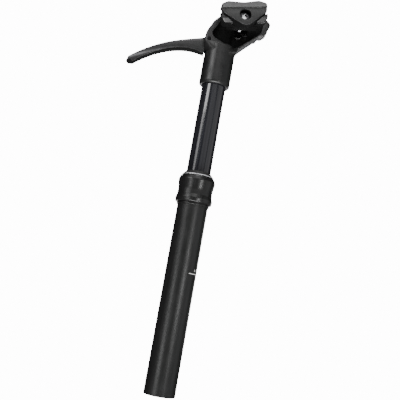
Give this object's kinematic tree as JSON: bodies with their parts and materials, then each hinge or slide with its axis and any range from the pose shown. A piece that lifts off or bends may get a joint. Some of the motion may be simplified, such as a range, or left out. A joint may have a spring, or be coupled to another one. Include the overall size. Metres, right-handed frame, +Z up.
{
  "type": "dropper seatpost",
  "caption": "Telescopic bicycle seatpost: an inner tube slides in an outer tube on a gas spring released by a lever under the side-bolted saddle rail clamp.",
  "frame": {"origin": "on the post's axis, where the outer tube's straight wall begins at its lower end", "axes": "+Z up the post's axis, +X forward along the lever, +Y to the rider's left"},
  "size_m": [0.144, 0.072, 0.409],
  "materials": {
    "black_tube": "satin black anodised",
    "gloss_black": "glossy hard anodised",
    "black_forged": "satin black, forged and blasted",
    "bare_alloy": "bright turned edge",
    "grey_alloy": "plain turned",
    "rubber": "matt",
    "steel": "zinc plated",
    "brass": "plain",
    "bush_plastic": "self-lubricating"
  },
  "bodies": {
    "outer_post": {"outer_tube": "black_tube", "seal_collar": "black_tube", "wiper_ring": "bare_alloy", "wiper_seal": "rubber", "upper_bushing": "bush_plastic", "base_plug": "grey_alloy", "base_clip": "steel", "base_screw": "steel", "cartridge_tube": "grey_alloy", "cartridge_gland": "grey_alloy", "rod_seal": "rubber"},
    "inner_post": {"stanchion": "gloss_black", "lower_bushing": "bush_plastic", "guide_keys": "brass", "head": "black_forged", "pivot_pin": "steel", "piston_rod": "steel", "piston": "grey_alloy", "piston_seal": "rubber", "rod_nut": "brass"},
    "lever": {"lever": "black_forged", "adjuster_screw": "steel", "adjuster_nut": "steel"},
    "release_pin": {"release_pin": "steel"},
    "floating_piston": {"floating_piston": "grey_alloy", "floating_seal": "rubber"},
    "saddle_clamp": {"rail_cradle": "black_forged", "left_jaw": "black_forged", "right_jaw": "black_forged", "clamp_bolt": "steel", "clamp_washer": "steel", "clamp_nut": "steel"}
  },
  "joints": [
    {"name": "post_travel", "type": "slide", "parent": "outer_post", "child": "inner_post", "axis": [0, 0, -1], "range_m": [0, 0.09], "stiffness_N_per_m": 500, "springref_m": -0.3},
    {"name": "lever_pull", "type": "hinge", "parent": "inner_post", "child": "lever", "pos_m": [0.0145, 0, 0.3644], "axis": [0, -1, 0], "range_deg": [0, 12], "stiffness_Nm_per_rad": 4, "springref_deg": -8.59},
    {"name": "release_push", "type": "slide", "parent": "inner_post", "child": "release_pin", "axis": [0, 0, -1], "range_m": [0, 0.0031]},
    {"name": "saddle_tilt", "type": "hinge", "parent": "inner_post", "child": "saddle_clamp", "pos_m": [-0.0165, 0, 0.3881], "axis": [0, 1, 0], "range_deg": [-12, 12]},
    {"name": "float_slide", "type": "slide", "parent": "outer_post", "child": "floating_piston", "axis": [0, 0, -1], "range_m": [0, 0.0265]}
  ],
  "couplings": [
    {"joint": "release_push", "follows": "lever_pull", "m_per_rad": 0.0145},
    {"joint": "float_slide", "follows": "post_travel", "ratio": 0.2922}
  ]
}
